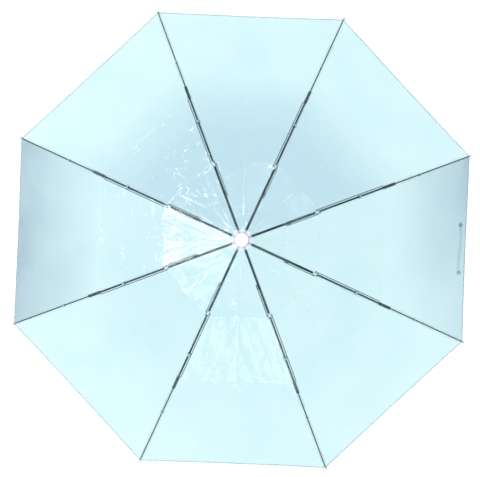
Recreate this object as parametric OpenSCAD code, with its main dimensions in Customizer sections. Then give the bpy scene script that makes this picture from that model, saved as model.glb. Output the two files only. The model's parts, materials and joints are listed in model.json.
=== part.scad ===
// Clear three-fold umbrella: shaft of three tubes, sliding runner, eight folding ribs, domed film canopy.
// Origin on the shaft axis at the middle of the handle's grip, +Z up towards the crown, millimetres.
// Every rib is drawn in its own upright plane, x outwards along the member, y across it, z to the film.

/* [Ribs] */
// Length of a top rib, from the crown hinge to the first fold
top_len = 145; // [140:1:150]
// Length of a middle rib, from the first fold to the second
mid_len = 145; // [140:1:150]
// Length of an outer rib's wire along its curve
outer_len = 250; // [230:1:255]
// Slope of the top ribs below level when open
top_slope = 12; // [11:0.5:13]
// Slope of the middle ribs below level when open
mid_slope = 22; // [20:0.5:24]
// Slope of an outer rib's wire where it starts
outer_slope = 25; // [24:0.5:28]
// Angle that an outer rib's wire bends through
outer_bend = 25; // [20:1:30]

/* [Frame] */
// Radius of the ring of hinges round the shaft
hinge_r = 11; // [11:0.5:12]
// Distance from the crown hinge to a stretcher's pivot
stretch_at = 85; // [80:1:88]
// Depth of the runner's hinges below the crown's when open
runner_drop = 75; // [72:1:78]

/* [Shaft] */
// Outer radius of the upper tube
tube_r = 5.5; // [5.5:0.1:5.6]
// Length of the upper tube below the crown's hinges
upper_len = 240; // [238:1:246]
// Exposed length of the middle tube, and of the lower tube, when pulled out
reach = 138; // [134:1:140]

/* [Handle] */
// Radius of the straight grip
grip_r = 14; // [12:0.5:16]
// Length of the straight grip
grip_len = 44; // [40:1:50]

/* [Canopy] */
// Thickness of the film
film_t = 0.3; // [0.2:0.05:0.4]
// Radius of the top cap
cap_r = 12.5; // [11.5:0.5:13.5]

/* [Hidden] */
$fn = 48;
ribs = 8;
step_a = 360 / ribs;
first_a = step_a / 2;
gap = 0.05;

// Sheet-steel sections
wall = 0.5;
top_w = 4.4;
top_h = 4;
mid_w = 3.6;
mid_h = 3.2;
tongue_w = 2.4;
tongue_t = 1.5;
neck_in = 6;
slot_w = 3;
rivet_r = 0.75;
head_r = 1.4;
crank_r = 1.2;
ear_r = 1.8;
wire_r = 1.3;
side_wire_r = 0.7;
eye_r = 1.5;
bite = 0.3;
ring_r = 0.6;

// Offsets along a member from its pivot
neck = 8;
web_back = 4;
fold_gap = 9;
stretch_z = -2;
bracket_back = 5;
bracket_out = 22;
bracket_in = 15;
wire_start = 18;
bracket_w = 5.4;
bracket_wall = 0.6;
bracket_top = 2.9;
bracket_low = -2;
stud_x = -4.5;
stud_z = -1.2;
crank_mid = 6;
crank_stretch = 6.7;
crank_stretch_a = -153;
side_y = 4.2;
crank_y = 2.9;
crank_t = 0.7;
arm_h = 1.8;

// Film levels over the ribs, and the hole round the cap's spigot
lift = 3.2;
lift_tip = 2.4;
crown_top = 4;
film_gap = 0.3;
film_z = crown_top + film_t + film_gap;
hole_r = 7.5;
flat_r = 16.5;
film_end = 0.985;
top_rows = 5;
mid_rows = 5;
outer_rows = 11;
gore_cols = 4;

// Handle's foot and collar, and the gap round a seated tube
foot_round = 5;
foot_h = 9;
collar_in = 7.5;
seat_gap = 0.02;
lug_r = 6;
lug_t = 5;
lug_drop = 8;
cord_r = 2;

// Heights measured from the grip's middle
handle_top = grip_len / 2 + 13;
handle_low = -grip_len / 2 - foot_h;
socket = 30;
overlap = 24;
crown_z = handle_top + upper_len + 2 * reach;
tube_in = tube_r - wall;
mid_r = tube_in - 0.08;
mid_in = mid_r - wall + 0.03;
low_r = mid_in - 0.08;
low_in = low_r - wall + 0.03;

// Crown, cap and runner
crown_r = 13.4;
crown_low = -5;
slot_in = 8.8;
cap_low = crown_top + film_t + 2 * film_gap;
cap_h = 7;
spigot_len = 8;
barrel_r = 8.5;
barrel_low = -56;
barrel_top = 5;
flange_r = 13.5;
flange_h = 4;
collar_r = 10.5;
collar_h = 9;
keyway_r = 7.5;
keyway_w = 4.4;
catch_len = 15;
catch_w = 3;
catch_t = 0.4;
catch_eye_r = 0.25;
catch_lean = 6.5;
catch_drop = runner_drop - barrel_low + catch_len + 1;
strap_len = 108;
strap_w = 12;
strap_t = 0.6;
strap_row = 0.955;
snap_r = 4.5;
snap_h = 1.4;
snap_in = 7;

// A point in a rib's plane, carried from a member's own frame that slopes down by s
function carry(p, s, q) = [p[0] + q[0] * cos(s) + q[1] * sin(s), p[1] - q[0] * sin(s) + q[1] * cos(s)];
hinge_c = [hinge_r, 0];
fold_e = carry(hinge_c, top_slope, [top_len, 0]);
fold_j = carry(fold_e, mid_slope, [mid_len, -mid_h / 2]);
stretch_p = carry(hinge_c, top_slope, [stretch_at, stretch_z]);
runner_p = [hinge_r, -runner_drop];
stretch_v = stretch_p - runner_p;
stretch_len = norm(stretch_v);
stretch_rise = atan2(stretch_v[1], stretch_v[0]);
stud_k = carry(hinge_c, top_slope, [top_len + stud_x, stud_z]);
stud_v = stud_k - fold_e;
crank_q = carry(fold_e, top_slope, [-crank_mid, 0]);
crank_n = carry(stretch_p, top_slope, crank_stretch * [cos(crank_stretch_a), sin(crank_stretch_a)]);
link_v = crank_q - crank_n;
link_len = norm(link_v);
link_rise = atan2(link_v[1], link_v[0]);
bend_r = outer_len / (outer_bend * PI / 180);

// The outer rib's line at share t of its length, lifted by h
function outer_at(t, h) =
    let (a = outer_bend * t, x = bend_r * sin(a), z = bend_r * (cos(a) - 1))
    carry(fold_j, outer_slope, [x + h * sin(a), z + h * cos(a)]);

// The film's line over a rib, from the crown to the hem
lift_j = lift + mid_h / 2;
film_line = concat(
    [[hole_r, film_z], [flat_r, film_z]],
    [for (k = [1 : top_rows]) carry(hinge_c, top_slope, [neck + (top_len - neck) * k / top_rows, lift])],
    [for (k = [1 : mid_rows]) carry(fold_e, mid_slope, [mid_len * k / mid_rows, lift])],
    [for (k = [1 : outer_rows])
        let (t = film_end * k / outer_rows)
        outer_at(t, lift_j + (lift_tip - lift_j) * t)]
);

// Puts a child in the upright plane of rib i, with z measured from the crown's hinges
module in_rib(i) {
    translate([0, 0, crown_z]) rotate([0, 0, first_a + step_a * (i - 1)]) children();
}

// Puts a child at point p of the rib's plane, with x sloping down by s
module at_point(p, s) {
    translate([p[0], 0, p[1]]) rotate([0, s, 0]) children();
}

// A round pin across the rib from y0 to y1 at (x, z)
module cross_pin(x, z, r, y0, y1) {
    translate([x, y1, z]) rotate([90, 0, 0]) cylinder(r = r, h = y1 - y0);
}

// A sheet channel open downwards, from x0 to x1, its top at z1
module channel(x0, x1, w, z0, z1) {
    difference() {
        translate([x0, -w / 2, z0]) cube([x1 - x0, w, z1 - z0]);
        translate([x0 - 1, -w / 2 + wall, z0 - 1]) cube([x1 - x0 + 2, w - 2 * wall, z1 - z0 + 1 - wall]);
    }
}

// A rivet through a hinge, headed outside the +y wall of a channel w wide
module rivet(x, z, w) {
    cross_pin(x, z, rivet_r, -w / 2 - 0.4, w / 2 + 0.4);
    cross_pin(x, z, head_r, w / 2 + gap, w / 2 + 0.5);
}

// The rivet's other end, a flat crank outside the -y wall with its stud at distance g and angle a
module crank(x, z, w, g, a) {
    cross_pin(x, z, head_r, -crank_y - crank_t / 2, -w / 2 - gap);
    translate([x, 0, z]) rotate([0, -a, 0]) {
        translate([0, -crank_y - crank_t / 2, -arm_h / 2]) cube([g, crank_t, arm_h]);
        cross_pin(g, 0, crank_r, -crank_y - crank_t / 2, -crank_y + crank_t / 2);
    }
}

// A thin wire along x between two eyes a length l apart, centred on y
module eyed_wire(l, y, hole) {
    difference() {
        union() {
            translate([eye_r - bite, y, 0]) rotate([0, 90, 0])
                cylinder(r = side_wire_r, h = l - 2 * (eye_r - bite));
            cross_pin(0, 0, eye_r, y - side_wire_r, y + side_wire_r);
            cross_pin(l, 0, eye_r, y - side_wire_r, y + side_wire_r);
        }
        cross_pin(0, 0, hole, y - 2, y + 2);
        cross_pin(l, 0, hole, y - 2, y + 2);
    }
}

module top_rib(i) {
    color("#2b3236") in_rib(i) at_point(hinge_c, top_slope) {
        difference() {
            union() {
                channel(neck, top_len - fold_gap, top_w, -top_h, 0);
                translate([0, -tongue_w / 2, -tongue_t]) cube([neck + neck_in, tongue_w, tongue_t]);
                translate([neck, -top_w / 2, -tongue_t]) cube([neck_in, top_w, tongue_t]);
                cross_pin(0, 0, ear_r, -tongue_w / 2, tongue_w / 2);
                for (side = [-1, 1]) {
                    y0 = side < 0 ? -top_w / 2 : top_w / 2 - wall;
                    translate([top_len - fold_gap - 1, y0, -top_h]) cube([fold_gap - 2, wall, top_h]);
                    translate([top_len - fold_gap - 1, y0, -ear_r]) cube([fold_gap + 1, wall, ear_r]);
                    cross_pin(top_len, 0, ear_r, y0, y0 + wall);
                }
            }
            cross_pin(0, 0, rivet_r, -top_w, top_w);
            cross_pin(stretch_at, stretch_z, rivet_r + gap, -top_w, top_w);
            cross_pin(top_len, 0, rivet_r + gap, -top_w, top_w);
        }
        cross_pin(top_len + stud_x, stud_z, rivet_r, top_w / 2 - wall, side_y + 1.1);
    }
}

module stretcher(i) {
    color("#2b3236") in_rib(i) at_point(runner_p, -stretch_rise) {
        difference() {
            union() {
                translate([0, -tongue_w / 2, -1.2]) cube([stretch_len, tongue_w, 2.4]);
                cross_pin(0, 0, 1.5, -tongue_w / 2, tongue_w / 2);
                cross_pin(stretch_len, 0, 1.28, -tongue_w / 2, tongue_w / 2);
            }
            cross_pin(0, 0, rivet_r + gap, -top_w, top_w);
            for (side = [-1, 1]) {
                y0 = side < 0 ? -tongue_w : tongue_w / 2 - 0.45;
                translate([5, y0, -0.6]) cube([stretch_len - 14, tongue_w / 2 + 0.45, 1.2]);
            }
        }
        rivet(stretch_len, 0, top_w);
        crank(stretch_len, 0, top_w, crank_stretch, crank_stretch_a - top_slope - stretch_rise);
    }
}

module drive_link(i) {
    color("#3a4448") in_rib(i) at_point(crank_n, -link_rise) eyed_wire(link_len, -side_y, rivet_r + gap);
}

module middle_rib(i) {
    color("#2b3236") in_rib(i) at_point(fold_e, mid_slope) {
        difference() {
            union() {
                channel(web_back, mid_len, mid_w, -mid_h, 0);
                translate([0, -tongue_w / 2, -tongue_t]) cube([web_back + 8, tongue_w, tongue_t]);
                cross_pin(0, 0, 1.5, -tongue_w / 2, tongue_w / 2);
                for (side = [-1, 1]) {
                    y0 = side < 0 ? -mid_w / 2 : mid_w / 2 - wall;
                    cross_pin(mid_len, -mid_h / 2, mid_h / 2, y0, y0 + wall);
                }
            }
            cross_pin(mid_len, -mid_h / 2, rivet_r + gap, -top_w, top_w);
        }
        rivet(0, 0, top_w);
        crank(0, 0, top_w, crank_mid, 180 + mid_slope - top_slope);
        drive_stud();
    }
}

// The middle rib's stud that the drive link turns on
module drive_stud() {
    rotate([0, -(180 + mid_slope - top_slope), 0])
        cross_pin(crank_mid, 0, rivet_r, -side_y - 1.1, -crank_y);
}

module control_wire(i) {
    color("#3a4448") in_rib(i) at_point(stud_k, mid_slope + atan2(mid_h / 2, mid_len))
        eyed_wire(norm([mid_len, mid_h / 2]), side_y, rivet_r + gap);
}

module outer_rib(i) {
    color("#2b3236") in_rib(i) {
        at_point(fold_j, outer_slope) {
            difference() {
                union() {
                    translate([-bracket_back, -bracket_w / 2, bracket_low])
                        cube([bracket_back + bracket_out, bracket_w, bracket_top - bracket_low]);
                    tail_lobe();
                }
                translate([-bracket_back - 4, -bracket_w / 2 + bracket_wall, bracket_low - 6])
                    cube([bracket_back + 4 + bracket_in, bracket_w - 2 * bracket_wall,
                        bracket_top - bracket_low + 6 - bracket_wall]);
            }
            cross_pin(0, 0, rivet_r, -bracket_w / 2 - 0.3, bracket_w / 2 + 0.3);
            cross_pin(0, 0, head_r, bracket_w / 2 - 0.1, bracket_w / 2 + 0.45);
            cross_pin(0, 0, head_r, -bracket_w / 2 - 0.45, -bracket_w / 2 + 0.1);
            translate([0, 0, -bend_r]) rotate([-90, 0, 0]) rotate([0, 0, -90]) arc_wire();
        }
    }
    color("#dfe8ea") in_rib(i) tip_cup();
}

// The ear behind the bracket's pivot that faces the control wire
module tail_lobe() {
    c = cos(outer_slope);
    s = sin(outer_slope);
    lobe = [stud_v[0] * c - stud_v[1] * s, stud_v[0] * s + stud_v[1] * c];
    cross_pin(lobe[0], lobe[1], 1.5, bracket_w / 2 - bracket_wall, bracket_w / 2);
}

// The sprung wire, as part of a ring in the xy plane, from its start in the bracket to the tip
module arc_wire() {
    start = wire_start / bend_r * 180 / PI;
    rotate([0, 0, start]) rotate_extrude(angle = outer_bend - start, $fn = 96)
        translate([bend_r, 0]) circle(r = wire_r);
}

// The clear cup that holds the film's corner on the wire's end
module tip_cup() {
    tip = outer_at(1, 0);
    at_point(tip, outer_slope + outer_bend) {
        difference() {
            union() {
                translate([-2, 0, 0]) rotate([0, 90, 0]) cylinder(r = 2.2, h = 5);
                translate([3, 0, 0]) sphere(r = 2.2, $fn = 32);
            }
            translate([-3, 0, 0]) rotate([0, 90, 0]) cylinder(r = wire_r + 0.02, h = 3.05);
        }
    }
}

module crown() {
    color("#3d3f42") translate([0, 0, crown_z]) difference() {
        translate([0, 0, crown_low]) cylinder(r = crown_r, h = crown_top - crown_low);
        translate([0, 0, crown_low - 1]) cylinder(r = tube_r + seat_gap, h = crown_top - crown_low + 2);
        for (i = [1 : ribs]) rotate([0, 0, first_a + step_a * (i - 1)])
            translate([slot_in, -slot_w / 2, crown_low - 1]) cube([crown_r, slot_w, 1 + 2.4 - crown_low]);
        rotate_extrude() translate([hinge_r, 0]) circle(r = ring_r + 0.02);
    }
}

module crown_ring() {
    color("silver") translate([0, 0, crown_z]) rotate_extrude() translate([hinge_r, 0]) circle(r = ring_r);
}

module top_cap() {
    color("white") translate([0, 0, crown_z + cap_low]) {
        rotate_extrude() difference() {
            intersection() {
                translate([0, -2 * cap_r + cap_h + 2]) circle(r = 2 * cap_r - 2, $fn = 96);
                square([cap_r, cap_h]);
            }
            translate([cap_r - 1.2, -1]) square([3, 1.4]);
        }
        translate([0, 0, -spigot_len]) cylinder(r = tube_in - 0.02, h = spigot_len + 1);
        translate([0, 0, cap_h - 1]) cylinder(r1 = 3.2, r2 = 2.4, h = 2.2);
    }
}

module upper_tube() {
    color("silver") translate([0, 0, crown_z - upper_len]) difference() {
        cylinder(r = tube_r, h = upper_len + crown_top);
        translate([0, 0, -1]) cylinder(r = tube_in, h = upper_len + crown_top + 2);
        translate([0, -catch_w / 2 - 0.2, upper_len - catch_drop - 0.6])
            cube([tube_r + 1, catch_w + 0.4, catch_len + 1.6]);
    }
}

module middle_tube() {
    color("silver") translate([0, 0, crown_z - upper_len - reach]) difference() {
        cylinder(r = mid_r, h = reach + overlap);
        translate([0, 0, -1]) cylinder(r = mid_in, h = reach + overlap + 2);
    }
}

module lower_tube() {
    color("silver") translate([0, 0, handle_top - socket]) difference() {
        cylinder(r = low_r, h = reach + overlap + socket);
        translate([0, 0, -1]) cylinder(r = low_in, h = reach + overlap + socket + 2);
    }
}

module runner() {
    color("white") translate([0, 0, crown_z - runner_drop]) difference() {
        union() {
            translate([0, 0, barrel_low]) cylinder(r = barrel_r, h = barrel_top - barrel_low);
            translate([0, 0, -flange_h]) cylinder(r = flange_r, h = 2 * flange_h);
            translate([0, 0, barrel_low]) cylinder(r = collar_r, h = collar_h);
            translate([0, 0, barrel_low + collar_h]) cylinder(r1 = collar_r, r2 = barrel_r, h = 2);
        }
        translate([0, 0, barrel_low - 1]) cylinder(r = tube_r + 0.08, h = barrel_top - barrel_low + 2);
        translate([0, -keyway_w / 2, barrel_low - 1]) cube([keyway_r, keyway_w, barrel_top - barrel_low + 2]);
        for (i = [1 : ribs]) rotate([0, 0, first_a + step_a * (i - 1)])
            translate([slot_in, -slot_w / 2, -flange_h - 1]) cube([flange_r, slot_w, 2 * flange_h + 2]);
        rotate_extrude() translate([hinge_r, 0]) circle(r = ring_r + 0.02);
    }
}

module runner_ring() {
    clear_a = asin((slot_w / 2 + gap) / hinge_r);
    color("silver") translate([0, 0, crown_z - runner_drop]) for (i = [1 : ribs])
        rotate([0, 0, first_a + step_a * (i - 1) + clear_a])
            rotate_extrude(angle = step_a - 2 * clear_a) translate([hinge_r, 0]) circle(r = ring_r);
}

module runner_catch() {
    color("silver") translate([tube_r - wall / 2, 0, crown_z - catch_drop]) rotate([0, catch_lean, 0]) {
        translate([-catch_t / 2, -catch_w / 2, 0]) cube([catch_t, catch_w, catch_len - 1]);
        cross_pin(0, 0, catch_eye_r, -catch_w / 2, catch_w / 2);
    }
}

module handle() {
    color("white") difference() {
        union() {
            rotate_extrude() difference() {
                union() {
                    translate([0, -grip_len / 2]) square([grip_r, grip_len]);
                    translate([0, grip_len / 2]) intersection() {
                        round_shoulder();
                        square([grip_r, handle_top - grip_len / 2]);
                    }
                    translate([0, handle_low]) square([grip_r - foot_round, foot_h]);
                    translate([grip_r - foot_round, -grip_len / 2]) circle(r = foot_round);
                }
                translate([-grip_r, handle_low - 4]) square([grip_r, 100]);
            }
            translate([-lug_t / 2, -lug_r, handle_low - lug_drop]) cube([lug_t, 2 * lug_r, lug_drop + 1]);
            translate([-lug_t / 2, 0, handle_low - lug_drop]) rotate([0, 90, 0]) cylinder(r = lug_r, h = lug_t);
        }
        translate([0, 0, handle_top - socket]) cylinder(r = low_r + seat_gap, h = socket + 1);
        translate([-lug_t, 0, handle_low - lug_drop]) rotate([0, 90, 0]) cylinder(r = cord_r, h = 2 * lug_t);
    }
}

// The rounded shoulder between the grip and the collar round the tube
module round_shoulder() {
    translate([collar_in, 0]) circle(r = grip_r - collar_in);
    square([collar_in, handle_top]);
}

module canopy() {
    rows = len(film_line);
    cols = ribs * gore_cols;
    // A point of the film at row r and column c, u lower by the film's thickness
    function film_point(r, c, u) =
        let (
            k = floor(c / gore_cols),
            f = c / gore_cols - k,
            a0 = first_a + step_a * k,
            p = film_line[r],
            x = p[0] * (cos(a0) * (1 - f) + cos(a0 + step_a) * f),
            y = p[0] * (sin(a0) * (1 - f) + sin(a0 + step_a) * f)
        )
        [x, y, p[1] - u];
    pts = [for (u = [0, film_t]) for (r = [0 : rows - 1]) for (c = [0 : cols - 1]) film_point(r, c, u)];
    low = rows * cols;
    top_faces = [for (r = [0 : rows - 2]) for (c = [0 : cols - 1])
        let (d = (c + 1) % cols)
        for (t = [[r * cols + c, r * cols + d, (r + 1) * cols + d],
                [r * cols + c, (r + 1) * cols + d, (r + 1) * cols + c]]) t];
    low_faces = [for (t = top_faces) [t[2] + low, t[1] + low, t[0] + low]];
    edge_faces = [for (r = [0, rows - 1]) for (c = [0 : cols - 1])
        let (d = (c + 1) % cols, a = r * cols + c, b = r * cols + d)
        for (t = r == 0
                ? [[b, a, a + low], [b, a + low, b + low]]
                : [[a, b, b + low], [a, b + low, a + low]]) t];
    color([0.8, 0.95, 0.97, 0.4]) translate([0, 0, crown_z])
        polyhedron(points = pts, faces = concat(top_faces, low_faces, edge_faces));
}

module closure_strap() {
    row = outer_at(strap_row, 0);
    x = row[0] * cos(first_a) - 6;
    z = row[1] - 5;
    slope = outer_slope + outer_bend;
    color([0.85, 0.93, 0.95]) translate([x, 0, crown_z + z]) rotate([0, slope, 0]) {
        translate([-strap_w / 2, -strap_len / 2, -strap_t]) cube([strap_w, strap_len, strap_t]);
        for (side = [-1, 1])
            translate([0, side * (strap_len / 2 - snap_in), -strap_t - snap_h])
                cylinder(r = snap_r, h = snap_h);
    }
}

function node_names(base) = [for (i = [1 : ribs]) str(base, "_", i)];

top_cap();
crown();
crown_ring();
upper_tube();
middle_tube();
lower_tube();
runner();
runner_ring();
runner_catch();
handle();
canopy();
closure_strap();
for (i = [1 : ribs]) {
    top_rib(i);
    stretcher(i);
    drive_link(i);
    middle_rib(i);
    control_wire(i);
    outer_rib(i);
}
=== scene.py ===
"""Clear folding umbrella: film, hems, seams, fittings, finishes and studio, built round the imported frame."""

import json
import math
import random

import bmesh
import bpy
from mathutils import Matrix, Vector


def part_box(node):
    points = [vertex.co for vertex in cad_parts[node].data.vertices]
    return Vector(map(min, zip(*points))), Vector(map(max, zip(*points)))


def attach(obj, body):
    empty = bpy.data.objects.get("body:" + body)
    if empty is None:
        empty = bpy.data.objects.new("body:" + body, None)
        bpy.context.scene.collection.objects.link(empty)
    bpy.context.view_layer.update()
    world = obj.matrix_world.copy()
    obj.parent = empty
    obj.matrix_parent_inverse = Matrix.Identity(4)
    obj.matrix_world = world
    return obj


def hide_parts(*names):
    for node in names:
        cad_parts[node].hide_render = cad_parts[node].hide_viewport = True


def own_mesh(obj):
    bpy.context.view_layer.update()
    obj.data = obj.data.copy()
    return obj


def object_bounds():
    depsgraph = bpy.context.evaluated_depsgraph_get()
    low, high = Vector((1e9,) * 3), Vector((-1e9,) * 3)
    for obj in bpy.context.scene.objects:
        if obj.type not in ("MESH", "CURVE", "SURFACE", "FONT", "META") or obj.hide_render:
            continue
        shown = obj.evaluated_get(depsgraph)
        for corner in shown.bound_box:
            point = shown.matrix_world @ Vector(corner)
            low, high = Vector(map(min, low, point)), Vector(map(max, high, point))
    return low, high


bl_info = {
    "name": "Clear Folding Umbrella",
    "version": (1, 0, 0),
    "blender": (4, 5, 0),
    "location": "View3D > Sidebar > Umbrella",
    "description": "Film canopy, fittings and finishes of a clear folding umbrella",
    "category": "Object",
}

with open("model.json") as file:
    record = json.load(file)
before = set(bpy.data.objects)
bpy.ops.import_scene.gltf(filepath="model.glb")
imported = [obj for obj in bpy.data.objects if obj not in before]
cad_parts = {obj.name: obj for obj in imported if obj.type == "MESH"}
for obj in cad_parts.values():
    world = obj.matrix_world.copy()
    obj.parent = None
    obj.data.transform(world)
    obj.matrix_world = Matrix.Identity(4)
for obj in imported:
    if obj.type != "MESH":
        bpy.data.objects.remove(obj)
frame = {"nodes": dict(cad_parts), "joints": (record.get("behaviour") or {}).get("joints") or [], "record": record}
CAD_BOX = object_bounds()
RIBS = 8
STEP = math.tau / RIBS
FIRST = STEP / 2
JOINTS = {j["name"]: j for j in frame["joints"]}


def joint_at(name):
    """A joint's place at rest, in the frame."""
    return Vector(JOINTS[name]["pos_m"])


CROWN = joint_at("top_rib_fold_1")
FOLD_E = joint_at("middle_rib_fold_1")
FOLD_J = joint_at("outer_rib_fold_1")
CROWN_Z = CROWN.z


def flat_radius(p):
    """Distance of a point from the shaft's axis."""
    return math.hypot(p[0], p[1])


def canopy_line():
    """The canopy's upper line over the first rib, as (radius, height), read from the CAD shell."""
    found = {}
    for v in frame["nodes"]["canopy"].data.vertices:
        x, y, z = v.co
        if abs(math.atan2(y, x) - FIRST) < 1e-3:
            key = round(math.hypot(x, y), 5)
            found[key] = max(z, found.get(key, -1))
    return sorted(found.items())


def smoothed(points, reach, step=0.002):
    """The line resampled every step and rounded over reach, with its two ends kept."""
    dense = []
    for (r0, z0), (r1, z1) in zip(points, points[1:]):
        n = max(1, round(math.hypot(r1 - r0, z1 - z0) / step))
        dense += [(r0 + (r1 - r0) * k / n, z0 + (z1 - z0) * k / n) for k in range(n)]
    dense.append(points[-1])
    out = []
    span = round(reach / step)
    for i in range(len(dense)):
        w = min(span, i, len(dense) - 1 - i)
        part = dense[i - w : i + w + 1]
        out.append(tuple(sum(p[a] for p in part) / len(part) for a in (0, 1)))
    return out


LINE = smoothed(canopy_line(), 0.008)
RUNS = [0.0]
for before, after in zip(LINE, LINE[1:]):
    RUNS.append(RUNS[-1] + math.dist(before, after))
FILM_RUN = RUNS[-1]


def on_line(run):
    """(radius, height) of the film over a rib at a distance along it."""
    run = min(max(run, 0.0), FILM_RUN)
    i = next((k for k in range(1, len(RUNS)) if RUNS[k] >= run), len(RUNS) - 1)
    t = (run - RUNS[i - 1]) / max(RUNS[i] - RUNS[i - 1], 1e-9)
    return tuple(LINE[i - 1][a] + (LINE[i][a] - LINE[i - 1][a]) * t for a in (0, 1))


def run_at_radius(radius):
    """The distance along the film at which it reaches a radius."""
    return next(RUNS[k] for k in range(len(LINE)) if LINE[k][0] >= radius)


RUN_NECK = run_at_radius(flat_radius(CROWN) + 0.008)
RUN_E = run_at_radius(flat_radius(FOLD_E))
RUN_J = run_at_radius(flat_radius(FOLD_J))
SECTIONS = (("top", RUN_NECK, RUN_E, 0.06), ("middle", RUN_E, RUN_J, 0.05), ("outer", RUN_J, FILM_RUN, 0.05))


def rib_angle(i):
    """Azimuth of rib i, counted from 1."""
    return FIRST + STEP * (i - 1)


def film_dip(panel, run, f):
    """How far the film lies below its taut shape at share f across a panel: sag, folds and waves."""
    s = run / FILM_RUN
    rng = random.Random(40 + panel % RIBS)
    phase = [rng.random() for _ in range(6)]
    across = math.sin(math.pi * f)
    waves = 0.55 * math.sin(math.tau * (1.6 * f + 2.1 * s + phase[0]))
    waves += 0.40 * math.sin(math.tau * (2.7 * f - 3.3 * s + phase[1]))
    waves += 0.26 * math.sin(math.tau * (4.9 * f + 4.4 * s + phase[2]))
    waves += 0.16 * math.sin(math.tau * (7.3 * f - 6.1 * s + phase[3]))
    p = props()
    dip = p.sag * across * s * s + p.waves * waves * across * (0.25 + 0.75 * s)
    inner = max(0.0, 1.0 - max(0.0, run / RUN_J - 0.92) / 0.12)
    dip += p.crease * inner * math.exp(-abs(f - 0.5) * s * 120) * min(1.0, s * 8)
    for centre in (RUN_E, RUN_J):
        dip -= 0.7 * p.crease * across * math.exp(-abs(run - centre) / 0.0035)
    return dip


def film_point(panel, run, f, lift=0.0):
    """A point of the film in the panel after rib number panel, at share f across it."""
    r, z = on_line(run)
    a0 = rib_angle(panel)
    a1 = a0 + STEP
    x = r * (math.cos(a0) * (1 - f) + math.cos(a1) * f)
    y = r * (math.sin(a0) * (1 - f) + math.sin(a1) * f)
    return Vector((x, y, z - film_dip(panel, run, f) + lift))


def painted_reflection_share(panel, run, f):
    """How much painted dark reflection the film gets at a point: the two side panels turn grey-blue towards the
    hem.
    """
    out = min(1.0, max(0.0, (run / FILM_RUN - 0.55) / 0.42))
    if panel % RIBS == RIBS // 2:
        return out**0.8
    if panel % RIBS == 0:
        return out * (0.40 + 0.60 * f)
    return 0.0


def painted_shade_share(panel, run):
    """How strong the painted shade of the inner film is: strongest in the three far panels, fading out past the
    second fold.
    """
    fade = 1 - min(1.0, max(0.0, (run / RUN_J - 0.72) / 0.5))
    return fade * (1.0 if panel % RIBS in (1, 2, 3) else 0.12)


def half_place(i, side):
    """The panel on that side of rib i, and a function from the share out from the rib to the panel's."""
    if side > 0:
        return i, lambda t: 0.5 * t
    return i - 1, lambda t: 1 - 0.5 * t


def make_mesh(name, verts, faces, material, smooth=True):
    """A mesh object from points and faces, at the origin, with one material."""
    mesh = bpy.data.meshes.new(name)
    mesh.from_pydata([tuple(v) for v in verts], [], faces)
    mesh.polygons.foreach_set("use_smooth", [smooth] * len(mesh.polygons))
    if material:
        mesh.materials.append(material)
    mesh.update()
    ob = bpy.data.objects.new(name, mesh)
    bpy.context.scene.collection.objects.link(ob)
    return ob


def face_out(ob):
    """Merges doubles and turns a closed mesh's faces outwards."""
    bm = bmesh.new()
    bm.from_mesh(ob.data)
    bmesh.ops.remove_doubles(bm, verts=bm.verts, dist=1e-6)
    bmesh.ops.recalc_face_normals(bm, faces=bm.faces)
    bm.to_mesh(ob.data)
    bm.free()
    return ob


def grid_faces(rows, cols, flip=False):
    """Quads of a grid of rows by cols points."""
    faces = []
    for r in range(rows - 1):
        for c in range(cols - 1):
            a = r * cols + c
            quad = (a, a + cols, a + cols + 1, a + 1)
            faces.append(tuple(reversed(quad)) if flip else quad)
    return faces


def lathe(name, profile, centre, material, turns=64):
    """A closed shape turned about an upright axis from (radius, height) points; both ends lie on the axis."""
    verts, faces = [], []
    rings = profile[1:-1]
    for k in range(turns):
        a = math.tau * k / turns
        verts += [centre + Vector((r * math.cos(a), r * math.sin(a), z)) for r, z in rings]
    low, high = len(verts), len(verts) + 1
    verts += [centre + Vector((0, 0, profile[0][1])), centre + Vector((0, 0, profile[-1][1]))]
    n = len(rings)
    for k in range(turns):
        a, b = k * n, (k + 1) % turns * n
        faces.append((low, b, a))
        faces.append((high, a + n - 1, b + n - 1))
        faces += [(a + j, b + j, b + j + 1, a + j + 1) for j in range(n - 1)]
    return face_out(make_mesh(name, verts, faces, material))


def arc(cx, cz, r, a0, a1, n=8):
    """Points of an arc in a profile, angles in degrees."""
    span = [math.radians(a0 + (a1 - a0) * k / n) for k in range(n + 1)]
    return [(cx + r * math.cos(a), cz + r * math.sin(a)) for a in span]


def band(name, line, across, up, half, thick, material):
    """A flat strip along a line of points, half as wide each side of it along across, thick along up."""
    verts, faces = [], []
    for k, p in enumerate(line):
        c, u = across[k], up[k]
        verts += [p - c * half, p - c * half * 0.8 + u * thick, p + c * half * 0.8 + u * thick, p + c * half]
    n = len(line)
    for k in range(n - 1):
        a, b = k * 4, (k + 1) * 4
        faces += [(a + j, b + j, b + (j + 1) % 4, a + (j + 1) % 4) for j in range(4)]
    faces += [(0, 1, 2, 3), ((n - 1) * 4 + 3, (n - 1) * 4 + 2, (n - 1) * 4 + 1, (n - 1) * 4)]
    return face_out(make_mesh(name, verts, faces, material, smooth=False))


# ---------------------------------------------------------------- finishes


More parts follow.
